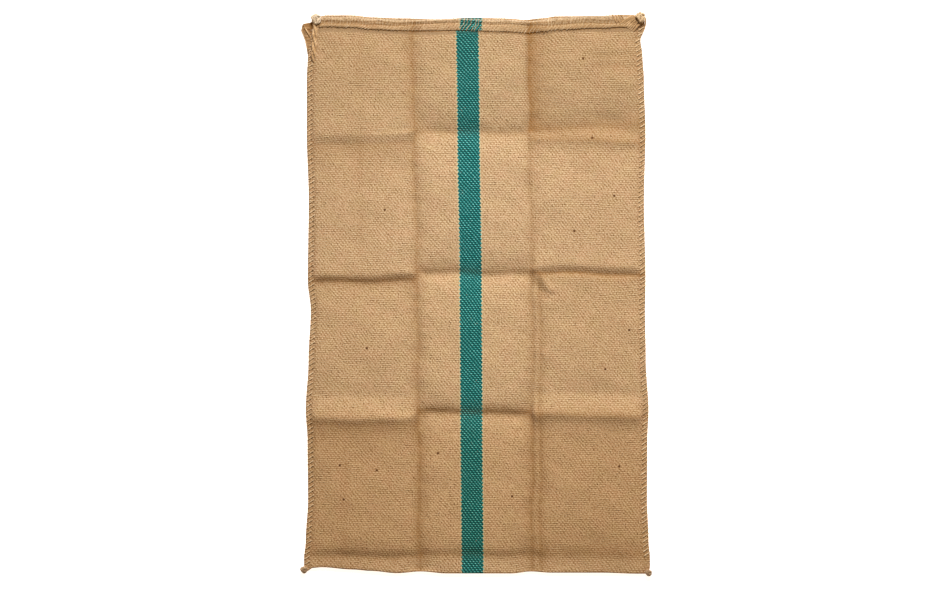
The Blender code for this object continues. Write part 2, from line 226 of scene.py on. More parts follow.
# ---- Reading the tables ----
def eased(value, table, column):
    """A smooth reading of one column of a table whose first column rises."""
    rows = np.array(table)
    value = np.clip(value, rows[0, 0], rows[-1, 0])
    upper = np.clip(np.searchsorted(rows[:, 0], value), 1, len(rows) - 1)
    low, high = rows[upper - 1], rows[upper]
    share = (value - low[..., 0]) / (high[..., 0] - low[..., 0])
    share = share * share * (3.0 - 2.0 * share)
    return low[..., column] * (1.0 - share) + high[..., column] * share


def straight(value, table):
    """A straight-line reading of a two-column table."""
    rows = np.array(table)
    return np.interp(value, rows[:, 0], rows[:, 1])


def ramp(value, low, high):
    """Rises smoothly from 0 at low to 1 at high."""
    share = np.clip((value - low) / (high - low), 0.0, 1.0)
    return share * share * (3.0 - 2.0 * share)


def lower_of(a, b):
    """The lower of two heights, melting into each other where they meet."""
    return -MELT * np.logaddexp(-a / MELT, -b / MELT)


def sides(y):
    """The left and the right edge at a height up the sack, and how far the ear stands out."""
    return [eased(y, SIDES, column) for column in (1, 2, 3)]


def inward_from(x, y, with_ear=False):
    """Distance in from the nearer side: of the front layer, or of the back one with its ear."""
    left, right, ear = sides(y)
    return np.minimum(x - left + ear * with_ear, right - x)


def fold_y(x):
    """Where the bottom fold lies."""
    return eased(x, BOTTOM, 1)


# ---- The lie of the cloth ----
def waves(x, y, seed, count, short, long, height):
    """Gentle unevenness: a sum of waves in all directions, with lengths from short to long."""
    draw = np.random.default_rng(seed)
    total = 0.0
    for _ in range(count):
        length = draw.uniform(short, long)
        turn = draw.uniform(0.0, math.pi)
        phase = draw.uniform(0.0, TAU)
        total = total + np.sin(TAU * (x * math.cos(turn) + y * math.sin(turn)) / length + phase)
    return total * height / math.sqrt(count)


def fold_heights(x, y):
    """The share of the height that the troughs leave at a place, what the ridges add, and the painted
    shade along the folds.
    """
    # a fold's line wanders a little
    wander_x = x + 1.6 * np.sin(y / 37.0 + 1.3) + np.sin(y / 17.0 + x / 60.0)
    wander_y = y + 1.8 * np.sin(x / 41.0 + 0.4) + np.sin(x / 19.0 + y / 70.0)
    share, raised, unshaded = 1.0, 0.0, 1.0
    for x0, y0, x1, y1, height, reach_left, reach_right, fade, worn in CREASES:
        length = math.hypot(x1 - x0, y1 - y0)
        along_x, along_y = (x1 - x0) / length, (y1 - y0) / length
        along = (wander_x - x0) * along_x + (wander_y - y0) * along_y
        aside = (wander_y - y0) * along_x - (wander_x - x0) * along_y
        reach = np.where(aside > 0.0, reach_left, reach_right)
        rounding = max(TROUGH_ROUND * min(reach_left, reach_right), LEAST_ROUND)
        if height > 0.0:
            rounding = np.clip(RIDGE_ROUND * reach, LEAST_RIDGE, MOST_RIDGE)
        depth = np.exp(-(np.hypot(aside, rounding) - rounding) / reach)
        end = ramp(np.minimum(along, length - along) / fade, -0.5, 0.5)
        fold = height * depth * end
        share = share * (1.0 + np.minimum(fold, 0.0) / (PLATEAU - VALLEY))
        raised = raised + np.maximum(fold, 0.0)
        # painted shade along the fold's line
        beside = np.exp(-np.abs(aside) / (FOLD_SHADE_REACH + FOLD_SHADE_SPREAD * reach))
        unshaded = unshaded * (1.0 - worn * end * beside)
    return share, raised, 1.0 - unshaded


def front_top(x, y):
    """The top surface of the front layer, without its hem."""
    left, right, ear = sides(y)
    inward = np.minimum(x - left, right - x)
    seam = straight(inward, SEAM_SECTION) + stitch_pinch(x, y, inward)
    side = np.where((x < left) & (ear > 0.5), straight(x - left + ear, EAR_SECTION), seam)
    fold = straight(y - fold_y(x), FOLD_SECTION)
    smooth = lower_of(PLATEAU + 0.0 * x, lower_of(side, fold))
    share, raised, _ = fold_heights(x, y)
    folds = (PLATEAU - VALLEY) * (share - 1.0) + raised
    folds = folds + waves(x, y, *SLACK)
    folds = folds + waves(x, y, *RUMPLES) * (RUMPLED - share)
    folded = smooth + FOLD_DEPTH * folds * ramp(smooth, FLAT_EDGE, FULL_FOLDS)
    return np.maximum(folded, np.minimum(smooth, LEAST_TOP))


def top_at(x, y):
    """The height of the front layer at one place."""
    return float(front_top(np.float64(x), np.float64(y)))


def back_under(x, y):
    """The underside of the back layer away from its turned edges."""
    raised = fold_heights(x, y)[1]
    lift = STITCH_LIFT * (1.0 - ramp(inward_from(x, y, with_ear=True), *STITCH_ROOM))
    return np.maximum(np.minimum(RIDGE_LIFT * raised, BACK_LIFT_MOST), lift)


# ---- Seams: where each stitch lies ----
SEAM_PITCH = 9.8  # whip stitches down each side
SEAM_DEPTH = 12.0  # from the edge to the needle's holes
SEAM_SLANT = 0.66  # how far a stitch climbs for each mm that it goes to the right
PINCH = 0.5  # how deep the stitches press the roll
ROLL_OUT = -1.5, 1.0  # the roll begins between these distances in from the edge
ROLL_IN = 7.0, 12.0  # and ends between these
STITCH = 1.35  # radius of the sewing twine
UNDER_STITCH = 0.72  # its radius where it is pressed flat below
SEAM_REACH = 750.0  # the stitches are numbered this far up and down from the middle
SEAM_BELOW, SEAM_ABOVE = 6.0, 8.0  # the sewing stops this far from the bottom fold and the mouth
BACK_STITCH_Z = 0.05  # the twine below runs this far over the floor
# share of the depth, height over the cloth and radius, both as shares of the stitch's radius
SEAM_STITCH_PATH = (
    (1, -1.9, 1), (0.93, 0, 1), (0.6, 0.3, 1), (0.35, 0.3, 0.9), (0.12, 0.3, 0.65),
)
HEM_PITCH = 7.3  # whip stitches along the hem
HEM_STITCH = 1.05
HEM_SIZES = 0.65, 1.15  # shares of that, which differ from stitch to stitch
HEM_JITTER = 1.9
BACK_THIN = 0.6  # the back hem's stitches are pressed flat
# along the hem, share of its depth, height over it and radius, both as shares of the stitch's radius:
# up from the turned edge, along the groove and over the rim
HEM_STITCH_PATH = (
    (-2.2, 1.03, -1.6, 0.6), (-1.6, 0.95, 0, 0.6), (0.4, 0.78, 0.1, 0.65), (2.4, 0.64, 0.1, 0.6),
    (4.4, 0.56, 0, 0.6), (6.4, 0.49, 0, 0.65), (7.2, 0.38, 0, 0.65), (7.5, 0.22, 0, 0.65),
    (7.9, 0.08, 0.1, 0.7), (8.1, -0.02, -0.2, 0.7), (8.1, 0.03, -2.6, 0.7),
)
HEM_FROM, HEM_TO = -310.0, 272.0


def stitch_press(x, y):
    """1 under each whip stitch of the seams, 0 midway between two of them."""
    return 0.5 + 0.5 * np.cos(TAU * ((y - SEAM_SLANT * x) / SEAM_PITCH))


def stitch_pinch(x, y, inward):
    """How the whip stitches press the rolled edge in, and let it swell between them."""
    near = ramp(inward, *ROLL_OUT) * (1.0 - ramp(inward, *ROLL_IN))
    return -PINCH * near * stitch_press(x, y)


# ---- The grid of warp and weft lines ----
# The warp lines are numbered by their distance from the stripe's middle, in mm of flat cloth.
EDGE_LEFT, CREASE_LEFT, CREASE_RIGHT, EDGE_RIGHT = -324.0, -105.0, 123.0, 351.0
WARP_MARKS = (EDGE_LEFT, CREASE_LEFT, 0.0, CREASE_RIGHT, EDGE_RIGHT)
# warp number, spacing of the grid there, how fast the spacing grows away from it
FINE_WARPS = (
    (EDGE_LEFT, 0.3, 0.25), (CREASE_LEFT, 2.0, 0.15), (CREASE_RIGHT, 2.0, 0.15),
    (CREASE_RIGHT + 16.0, 2.2, 0.15), (EDGE_RIGHT, 0.5, 0.25),
)
WIDEST = 11.0
EAR_REACH = 2.0  # the part of the rolled edge that spreads into the ear
WEFT_STEP = SEAM_PITCH / 3.0
INNER_SKIP = 8  # the inner skin has one row for so many of the outer skin's
NEAR_SKIP = 2  # and for so many near the folds across the sack
NEAR_ROW = 26.0
END_REACH = 150.0  # how far in from an end the weft follows that end's uneven line


def graded(start, end, marks, widest):
    """Grid lines that lie close together at the marks and wide apart between them."""
    lines = [start]
    while lines[-1] < end:
        spacings = [fine + grow * abs(lines[-1] - at) for at, fine, grow in marks]
        lines.append(lines[-1] + min(*spacings, widest))
    lines = np.array(lines)
    return start + (lines - start) * (end - start) / (lines[-1] - start)


def mark_places(y):
    """Where the marked warp lines lie at a height up the sack."""
    left, right, _ = sides(y)
    return [left] + [eased(y, WARPS, column) for column in (1, 2, 3)] + [right]


def warp_x(warp, y):
    """Where a warp line lies at a height up the sack."""
    places = mark_places(y)
    x = 0.0
    for low, high, from_x, to_x in zip(WARP_MARKS, WARP_MARKS[1:], places, places[1:]):
        share = (warp - low) / (high - low)
        inside = (warp >= low) & ((warp < high) | (high == EDGE_RIGHT))
        x = x + np.where(inside, from_x + (to_x - from_x) * share, 0.0)
    ear = eased(y, SIDES, 3) * (1.0 - ramp(warp - EDGE_LEFT, 0.0, EAR_REACH))
    return x - ear


def rim_y(x):
    return eased(x, MOUTH, 1)


def weft_y(weft, x):
    """Where a weft line lies at a place across the sack."""
    near_mouth = np.clip(1.0 - (HALF - weft) / END_REACH, 0.0, 1.0)
    near_bottom = np.clip(1.0 - (HALF + weft) / END_REACH, 0.0, 1.0)
    return weft + near_mouth * (rim_y(x) - HALF) + near_bottom * (fold_y(x) + HALF)


def hem_depth(x):
    return eased(x, HEM_DEPTHS, 1)


def hem_side(x):
    """0 along the middle of the hem, 1 towards its sides."""
    return ramp(np.abs(x - HEM_MIDDLE), *HEM_OUTER)


def hem_share(share, x):
    """Where a line of the hem's section lies at a place: its groove runs lower towards the sides."""
    return share + GROOVE_DROP * hem_side(x) * np.sin(math.pi * np.clip(share, 0.0, 1.0))


def set_back(x, y):
    """How far the front layer's rim is drawn back from the back layer's."""
    wander = 1.0 + 0.35 * np.sin(x / 47.0) + 0.25 * np.sin(x / 23.0 + 1.0)
    return FRONT_SET_BACK * wander * ramp(inward_from(x, y), *SET_BACK_IN)


def hem_start(x, y):
    """The hem's rolls reach their full height a little way in from the seams."""
    return np.clip(inward_from(x, y) / HEM_START, 0.0, 1.0)


def edge_shade_and_tone(x, y, share):
    """Painted shade in the hem's groove, painted shadow below it, a darker lower roll, darker seams
    with painted shade under the stitches and in the needle's holes, a darker ear with a painted shadow
    on its edge, painted shade at the bottom fold and towards the sides.
    """
    # painted shade in the hem's groove
    groove = np.exp(-((share - GROOVE) / GROOVE_WIDE) ** 2)
    left_third = 1.0 - ramp(x, *LEFT_THIRD)
    # a darker lower roll
    rolls = (ROLL_DARKENING + OUTER_ROLL_DARKENING * hem_side(x)) * ramp(share, *ROLL_FROM)
    hem = (share <= 1.0) * (groove * GROOVE_SHADE * (1.0 + left_third) + rolls)
    # painted shadow below the hem's turned edge
    below = BELOW_HEM_SHADOW * np.exp(-np.abs(share - BELOW_HEM) / BELOW_WIDE)
    left, right, ear = sides(y)
    inward = np.minimum(x - left, right - x)
    press = stitch_press(x, y)
    near = ramp(inward, *ROLL_OUT) * (1.0 - ramp(inward, *SEAM_DARK_IN))
    # darker along the seam, painted shade under each stitch and in the needle's holes
    seam = (SEAM_DARKENING + PRESSED_SHADE * press) * near
    seam = seam + HOLE_SHADE * press ** 2 * np.exp(-((inward - SEAM_DEPTH) / HOLE_WIDE) ** 2)
    # a painted shadow along the front layer's edge over the ear, and the ear darker
    flap_edge = FLAP_EDGE_SHADOW * np.exp(-np.abs(x - left) / FLAP_EDGE_WIDE)
    flap = ramp(ear, *FLAP_FROM) * (FLAP_DARKENING * (x < left) + flap_edge)
    # painted shade where the cloth turns under at the bottom fold
    bottom = BOTTOM_SHADE * (1.0 - ramp(y - fold_y(x), *BOTTOM_UP))
    # painted shade towards the sides, where the light falls off
    return hem + below + seam + flap + bottom + SIDES_SHADE * ramp(np.abs(x), *SIDES_FROM)


def nose(distance, reach):
    """The quarter circle of a rounded edge: 0 at the edge, 1 at its reach and beyond."""
    return np.sqrt(1.0 - (1.0 - np.clip(distance / reach, 0.0, 1.0)) ** 2)


def put(name, data):
    """Puts a mesh, lamp or camera into the scene."""
    made = bpy.data.objects.new(name, data)
    bpy.context.collection.objects.link(made)
    return made


def add_mesh(name, points, faces, corners, uv_name, finish, worn=None):
    """A smooth mesh from points in mm, with the coordinates of its faces' corners."""
    mesh = bpy.data.meshes.new(name)
    mesh.from_pydata((np.asarray(points) * MM).tolist(), [], faces)
    layer = mesh.uv_layers.new(name=uv_name)
    layer.data.foreach_set("uv", np.asarray(corners, dtype=np.float32).ravel())
    if worn is not None:
        # the worn attribute: painted shade along the folds and edges, darker tones there, and below 0
        # the rims' grey
        mesh.attributes.new("worn", "FLOAT", "POINT").data.foreach_set("value", worn.astype(np.float32))
    mesh.materials.append(finish)
    mesh.shade_smooth()
    piece = put(name, mesh)
    return piece


def cloth_lines():
    """The weft lines as places up the sack, with each hem line's share of the hem and its height."""
    turned = np.array(FOLD_ROWS)
    body = np.arange(turned[-1] + WEFT_STEP, LENGTH - HEM_ROOM, WEFT_STEP)
    hem = np.array(HEM_SECTION)[::-1]
    wefts = np.concatenate([turned, body, np.full(len(hem), LENGTH)]) - HALF
    shares = np.concatenate([np.full(len(turned) + len(body), NO_HEM), hem[:, 0]])
    rolls = np.concatenate([np.zeros(len(turned) + len(body)), hem[:, 1]])
    return wefts, shares, rolls


def sack_cloth(finish):
    """The whole cloth as one closed mesh: the outer skin front and back, and the inner skin."""
    warps = graded(EDGE_LEFT, EDGE_RIGHT, FINE_WARPS, WIDEST)
    wefts, shares, rolls = cloth_lines()
    warp, weft = np.meshgrid(warps, wefts)
    share, roll = shares[:, None] + 0.0 * warp, rolls[:, None] + 0.0 * warp
    y = weft
    for _ in range(SETTLE):
        x = warp_x(warp, y)
        y = np.where(share == NO_HEM, weft_y(weft, x), rim_y(x) - hem_share(share, x) * hem_depth(x))
    roll = roll * hem_start(x, y)
    from_rim = rim_y(x) - y

    # front layer
    front_y = y - set_back(x, y) * (1.0 - ramp(from_rim, *SET_BACK_DOWN))
    base = front_top(x, front_y)
    front_z = base + roll
    # back layer, whose own hem lies under it and lifts it
    lifted = BACK_HEM_LIFT * (1.0 - ramp(from_rim, *HEM_LIFT_DOWN)) * hem_start(x, y)
    under = np.maximum(back_under(x, y), lifted)
    side_turn = 1.0 - nose(inward_from(x, y, with_ear=True), EDGE_TURN)
    fold_turn = 1.0 - nose(y - fold_y(x), FOLD_TURN)
    edge_z = np.where(warp < 0.0, front_z[:, :1], front_z[:, -1:])
    back_z = under - roll + side_turn * (edge_z - under) + fold_turn * (front_z[:1] - under)

    # inner skin, which starts a little in from the edges and follows the outer one
    from_left, from_right = warp - EDGE_LEFT, EDGE_RIGHT - warp
    shift = INNER_EDGE * ramp(from_rim, 0.0, INNER_OPEN)
    inner_x = x + shift * (np.exp(-from_left / INNER_EDGE) - np.exp(-from_right / INNER_EDGE))
    from_fold = weft + HALF
    inner_up = INNER_EDGE * np.exp(-from_fold / INNER_EDGE)
    thick = np.where(share <= 1.0, HEM_CORE * nose(from_rim, RIM_ROUND), CLOTH)
    middle = (front_z + back_z) / 2.0
    ends = (from_left < 0.01) | (from_right < 0.01) | (from_fold < 0.01)
    inner_front_z = np.where(ends, middle, np.maximum(base - thick, middle + INNER_GAP / 2.0))
    inner_back_z = np.where(ends, middle, np.minimum(back_z + roll + thick, middle - INNER_GAP / 2.0))

    rows, columns = x.shape
    kept = []
    for row in range(rows):
        near = min(abs(wefts[row] - place) for place in ROWS) < NEAR_ROW
        skip = NEAR_SKIP if near else INNER_SKIP
        if shares[row] in INNER_HEM_ROWS or (shares[row] == NO_HEM and row % skip == 0):
            kept.append(row)
    ids = np.arange(rows * columns).reshape(rows, columns)
    front_ids, back_ids = ids, ids + rows * columns
    inner = np.arange(len(kept) * columns).reshape(len(kept), columns)
    inner_front_ids = inner + 2 * rows * columns
    inner_back_ids = inner_front_ids + inner.size
    for front, back in ((front_ids, back_ids), (inner_front_ids, inner_back_ids)):
        back[:, 0], back[:, -1], back[0] = front[:, 0], front[:, -1], front[0]
    inner_front_ids[-1], inner_back_ids[-1] = front_ids[-1], back_ids[-1]

    points = np.concatenate([
        np.stack([x, front_y, front_z], -1).reshape(-1, 3),
        np.stack([x, y, back_z], -1).reshape(-1, 3),
        np.stack([inner_x, front_y + inner_up, inner_front_z], -1)[kept].reshape(-1, 3),
        np.stack([inner_x, y + inner_up, inner_back_z], -1)[kept].reshape(-1, 3),
    ])
    # painted shade along the folds and at the edges, with darker tones there, kept as the mesh's worn
    # attribute
    worn = fold_heights(x, front_y)[2] + edge_shade_and_tone(x, y, share)
    # the rims turn grey: the front one's in its own colour at half strength, the back layer's in full
    # as painted shade
    rim = (share <= 1.0) * (1.0 - ramp(share, *RIM_GREYING))
    parts = (worn - 0.5 * rim, worn - rim, worn[kept], worn[kept])
    worn = np.concatenate([part.ravel() for part in parts])
    # across the warp from the stripe's middle, and along it from the bottom fold; the turned hem
    # shows its other side, a little out of line with the cloth below
    in_hem = (share <= 1.0) & (roll > 0.0)
    across = warp - np.where(in_hem, HEM_SHIFT, 0.0)
    along = np.where(share == NO_HEM, weft + HALF, LENGTH + share * hem_depth(x))
    front_uv = np.stack([across, along], -1)
    back_uv = np.stack([across, -along], -1)
    faces, corners = [], []
    for skin, uv, up in (
        (front_ids, front_uv, True), (back_ids, back_uv, False),
        (inner_front_ids, front_uv[kept], False), (inner_back_ids, back_uv[kept], True),
    ):
        step = [(0, 0), (0, 1), (1, 1), (1, 0)] if up else [(0, 0), (1, 0), (1, 1), (0, 1)]
        tall, wide = skin.shape[0] - 1, skin.shape[1] - 1
        picked = [(slice(r, r + tall), slice(c, c + wide)) for r, c in step]
        faces.append(np.stack([skin[pick] for pick in picked], -1).reshape(-1, 4))
        corners.append(np.stack([uv[pick] for pick in picked], 2).reshape(-1, 2))
    faces = np.concatenate(faces)
    used = np.unique(faces)
    renumbered = np.zeros(len(points), dtype=int)
    renumbered[used] = np.arange(len(used))
    return add_mesh("sack_cloth_twill", points[used], renumbered[faces].tolist(),
                    np.concatenate(corners), "weave", finish, worn[used])


# ---- Twine ----
def smooth_path(points, step):
    """Even steps along a smooth curve through rows of x, y, z and radius."""
    points = np.array(points, dtype=float)
    gaps = np.maximum(np.linalg.norm(np.diff(points[:, :3], axis=0), axis=1), 0.01)
    reach = np.concatenate([[0.0], np.cumsum(gaps)])
    slopes = np.gradient(points, reach, axis=0)
    at = np.linspace(0.0, reach[-1], max(round(reach[-1] / step), 3) + 1)
    upper = np.clip(np.searchsorted(reach, at), 1, len(reach) - 1)
    gap = gaps[upper - 1][:, None]
    t = (at - reach[upper - 1])[:, None] / gap
    low, high = points[upper - 1], points[upper]
    return (
        (1.0 + 2.0 * t) * (1.0 - t) ** 2 * low + t * (1.0 - t) ** 2 * gap * slopes[upper - 1]
        + t * t * (3.0 - 2.0 * t) * high + t * t * (t - 1.0) * gap * slopes[upper]
    )


def tube(path, sides, plies, lay, groove):
    """The points, faces and face corners' coordinates of one twisted tube with closed ends."""
    centre, radius = path[:, :3], path[:, 3]
    tangent = np.gradient(centre, axis=0)
    tangent /= np.linalg.norm(tangent, axis=1)[:, None]
    across = np.cross(tangent[0], (0.31, 0.22, 0.92))
    frames = []
    for direction in tangent:
        across = across - direction * across.dot(direction)
        across = across / np.linalg.norm(across)
        frames.append((across, np.cross(direction, across)))
    frames = np.array(frames)
    gaps = np.linalg.norm(np.diff(centre, axis=0), axis=1)
    run = np.concatenate([[0.0], np.cumsum(gaps)])
    angle = TAU * np.arange(sides) / sides
    turn = TAU * run / lay
    ply = np.abs(np.cos(plies / 2.0 * (angle[None] - turn[:, None])))
    reach = radius[:, None] * (1.0 - groove + groove * ply)
    ring = np.cos(angle)[None, :, None] * frames[:, None, 0]
    ring = ring + np.sin(angle)[None, :, None] * frames[:, None, 1]
    points = centre[:, None] + ring * reach[..., None]
    rings = len(centre)
    faces, corners = [], []
    for i in range(rings - 1):
        here, there = i * sides, (i + 1) * sides
        low, high = turn[i] / TAU, turn[i + 1] / TAU
        for k in range(sides):
            after = (k + 1) % sides
            faces.append((here + k, here + after, there + after, there + k))
            u0, u1 = k / sides, (k + 1) / sides
            corners += [(u0 - low, run[i]), (u1 - low, run[i])]
            corners += [(u1 - high, run[i + 1]), (u0 - high, run[i + 1])]
    faces.append(tuple(range(sides - 1, -1, -1)))
    faces.append(tuple(range((rings - 1) * sides, rings * sides)))
    corners += [(0.5, 0.0)] * sides + [(0.5, run[-1])] * sides
    return points.reshape(-1, 3), faces, corners


def tubes(name, paths, finish, step=1.0, sides=8, plies=2, lay=9.0, groove=0.26):
    """One piece of many twisted tubes."""
    points, faces, corners, count = [], [], [], 0
    for path in paths:
        route = smooth_path(path, step)
        route[:, 2] = np.maximum(route[:, 2], route[:, 3])
        made, around, edges = tube(route, sides, plies, lay, groove)
        points.append(made)
        faces += [tuple(corner + count for corner in face) for face in around]
        corners += edges
        count += len(made)
    return add_mesh(name, np.concatenate(points), faces, corners, "yarn", finish)


def seam_stitches(name, column, finish):
    """Whip stitches that go over the rolled edge of one side and back up through the needle's holes."""
    draw = np.random.default_rng(column)
    out = -1.0 if column == 1 else 1.0
    paths = []
    most = math.floor(SEAM_REACH / SEAM_PITCH)
    for count in range(-most, most + 1):
        y = count * SEAM_PITCH
        for _ in range(SETTLE):
            y = count * SEAM_PITCH + SEAM_SLANT * float(eased(y, SIDES, column))
        if not -HALF + SEAM_BELOW < y < HALF - SEAM_ABOVE:
            continue
        edge = float(eased(y, SIDES, column))
        slip = draw.uniform(-0.5, 0.5)
        depth = SEAM_DEPTH + draw.uniform(-0.7, 0.7)
        size = STITCH * draw.uniform(0.9, 1.1)
        path = []
        for inward, over, thick in SEAM_STITCH_PATH:
            inward = inward * depth
            x = edge - out * inward
            place = y + slip - out * SEAM_SLANT * inward
            path.append((x, place, top_at(x, place) + over * size, thick * size))
        # round the edge, under the seam and up to the next hole
        path.append((edge + out * 0.3, y + slip, 2.6, size * 0.6))
        path.append((edge - out * 0.2, y + slip, 1.0, UNDER_STITCH))
        next_y = y + slip - out * SEAM_SLANT * depth + out * SEAM_PITCH
        low = UNDER_STITCH + BACK_STITCH_Z
        path.append((edge - out * 3.0, y + slip + 0.3 * (next_y - y), low, UNDER_STITCH))
        path.append((edge - out * (depth - 1.0), y + 0.9 * (next_y - y), low, UNDER_STITCH))
        path.append((edge - out * depth, next_y, 2.2, UNDER_STITCH))
        paths.append(path)
    return tubes(name, paths, finish, lay=7.0)


def hem_place(x, share, front):
    """A point of the hem's outer surface."""
    x = np.float64(x)
    y = rim_y(x) - hem_share(share, x) * hem_depth(x)
    roll = straight(share, HEM_SECTION[:HEM_TOP_ROWS]) * hem_start(x, y)
    if front:
        y = y - set_back(x, y)
        return float(y), float(front_top(x, y) + roll)
    return float(y), float(max(back_under(x, y), BACK_HEM_LIFT * hem_start(x, y)) - roll)


def hem_stitches(name, front, finish):
    """Whip stitches over the hem: slanted from its turned edge to the groove, then up over the rim."""
    draw = np.random.default_rng(11 if front else 12)
    up = 1.0 if front else -1.0
    paths = []
    for x in np.arange(HEM_FROM, HEM_TO, HEM_PITCH):
        x = x + draw.uniform(-HEM_JITTER, HEM_JITTER)
        size = HEM_STITCH * draw.uniform(*HEM_SIZES) * (1.0 if front else BACK_THIN)
        path = []
        for along, share, over, thick in HEM_STITCH_PATH:
            y, z = hem_place(x + along, share, front)
            path.append((x + along, y, z + up * over * size, thick * size))
        paths.append(path)
    return tubes(name, paths, finish, lay=8.0)


# ---- Corners ----
# turns about the knot's two level axes, one for each strand
KNOT_TURNS = ((0.0, 0.0), (1.1, 0.7), (-0.7, 1.2))
# node: its middle x, y and z, its half sizes, and the twine's radius
KNOTS = {
    "knot_bottom_left": ((-345.8, -551.4, 6.8), (7.5, 7.5, 6.2), 3),
    "knot_bottom_right": ((343.6, -557.4, 6.8), (7.2, 7.2, 6.2), 3),
    "knot_mouth_left": ((-321, 549.5, 10), (10.5, 12, 5.8), 2.9),
    "knot_mouth_right": ((327, 553, 11), (10, 11.5, 5.6), 2.8),
}


def corner_knot(node, finish):
    """A twine end knotted off: three strands looped through each other, pulled down to a lump."""
    middle, half, radius = KNOTS[node]
    t = np.linspace(0.0, TAU, 33)[:-1]
    paths = []
    for turn_x, turn_y in KNOT_TURNS:
        loop = np.stack([np.sin(t) + 2.0 * np.sin(2.0 * t), np.cos(t) - 2.0 * np.cos(2.0 * t),
                         -1.6 * np.sin(3.0 * t)], -1)
        cx, sx, cy, sy = math.cos(turn_x), math.sin(turn_x), math.cos(turn_y), math.sin(turn_y)
        loop = loop @ np.array([[1, 0, 0], [0, cx, sx], [0, -sx, cx]])
        loop = loop @ np.array([[cy, 0, -sy], [0, 1, 0], [sy, 0, cy]])
        loop = loop / np.abs(loop).max(axis=0) * (np.array(half) - radius)
        paths.append(np.column_stack([loop + middle, np.full(len(loop), radius)]))
    made = tubes(node + "_twine", paths, finish, step=0.7, lay=5.0)
    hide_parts(node)
    return made


# the strand at the left corner: where it starts, how far it runs down and out, its lay and thickness
STRAND_X, STRAND_Y = -319.5, 546.0
STRAND_DOWN, STRAND_OUT = 82.0, 6.5
STRAND_PLIES, STRAND_STEPS = 3, 24
STRAND_LAY, STRAND_PLY = 64.0, 3.4


def mouth_left_strand(finish):
    """The first stitches of the left seam, drawn out into one twisted strand over the roll."""
    paths = []
    for ply in range(STRAND_PLIES):
        path = []
        for step in range(STRAND_STEPS + 1):
            share = step / STRAND_STEPS
            y = STRAND_Y - STRAND_DOWN * share
            x = STRAND_X - STRAND_OUT * math.sqrt(share)
            turn = TAU * (y / STRAND_LAY + ply / STRAND_PLIES)
            # it tapers and sinks into the roll at its lower end
            away = STRAND_PLY * (1.0 - 0.08 * share - 0.45 * float(ramp(share, 0.85, 1.0)))
            lift = 1.3 + 0.6 * away * math.sin(turn) - 1.8 * float(ramp(share, 0.78, 1.0))
            path.append((x + away * math.cos(turn), y, top_at(x, y) + lift, away))
        paths.append(path)
    return tubes("mouth_left_strand", paths, finish, lay=14.0)


def over_cloth(points):
    """A path given as x, y, height over the cloth and radius."""
    return [(x, y, top_at(x, y) + over, r) for x, y, over, r in points]


# x, y, height over the cloth and radius of the yarn across the ear, and of the ear's turned edge
EAR_CROSSING = (
    (-346, 537, -0.6, 1.4), (-343.5, 532, 0.9, 1.7), (-338.5, 524, 1.4, 1.8),
    (-333, 514.5, 1.2, 1.6), (-330, 508, -0.8, 1.1),
)
EAR_EDGE = (
    (-345, 541, -0.8, 1), (-348.6, 535, 0.4, 1.3), (-349.5, 528, 0.4, 1.3), (-346.2, 518, 0.3, 1.2),
    (-342, 506, 0.2, 1.1), (-339.6, 494, 0.1, 1), (-338, 480, -1.2, 0.8),
)


def ear_yarns(finish):
    """A yarn that crosses the ear, and the turned edge of the ear itself."""
    paths = [over_cloth(path) for path in (EAR_CROSSING, EAR_EDGE)]
    return tubes("ear_yarns", paths, finish, lay=9.0)


# the crowded yarns at the right corner: where the first and the last one start and end
CORNER_YARNS = 8
CORNER_STARTS = ((284.0, 539.0), (313.0, 525.0))
CORNER_ENDS = ((312.0, 557.5), (335.0, 553.0))
# along a yarn, height over the cloth, share of its radius
CORNER_YARN = (
    (0, -0.6, 0.6), (0.2, 0.5, 0.9), (0.45, 1, 1), (0.7, 1.2, 1), (0.88, 0.9, 0.9), (1, 0, 0.7),
)
# down the outer edge of the corner: x, y, height over the cloth and radius
CORNER_EDGE = (
    (337, 554, 0.6, 1.4), (338.4, 547, 0.8, 1.7), (337.4, 539, 0.8, 1.7), (335.2, 531, 0.8, 1.5),
    (332, 523, -0.6, 1.1),
)
CORNER_STITCHES = (272.0, 278.5, 284.0, 289.0)  # x of the last stitches, which lean over the rim
# x from there, y, height over the cloth and radius
CORNER_STITCH = (
    (-1, 558.5, -0.4, 1.4), (1, 554.5, 0.9, 2), (4, 548.5, 1, 2.2), (7, 542.5, 0.8, 2),
    (8.6, 538, -0.6, 1.4),
)


def mouth_right_bundle(finish):
    """The last stitches of the hem and the right seam, crowded together at the corner."""
    draw = np.random.default_rng(17)
    paths = [over_cloth(CORNER_EDGE)]
    for count in range(CORNER_YARNS):
        share = count / (CORNER_YARNS - 1)
        (x0, y0), (x1, y1) = (
            [low + (high - low) * share for low, high in zip(*both)]
            for both in (CORNER_STARTS, CORNER_ENDS)
        )
        size, bow = draw.uniform(2.1, 2.8), draw.uniform(-1.0, 1.5)
        paths.append(over_cloth([
            (x0 + (x1 - x0) * t, y0 + (y1 - y0) * t + bow * math.sin(math.pi * t), over, thick * size)
            for t, over, thick in CORNER_YARN
        ]))
    for first in CORNER_STITCHES:
        paths.append(over_cloth([(first + x, y, over, r) for x, y, over, r in CORNER_STITCH]))
    return tubes("mouth_right_bundle", paths, finish, lay=8.0)


# ---- Loose fibres ----
HAIRS_HEM, HAIRS_SEAMS, HAIRS_CLOTH = 900, 520, 500
HAIRS_MOUTH_KNOT, HAIRS_BOTTOM_KNOT = 110, 24
HAIR, HAIR_TAPER = 0.14, 0.03  # radius at its root, and what each third takes off it


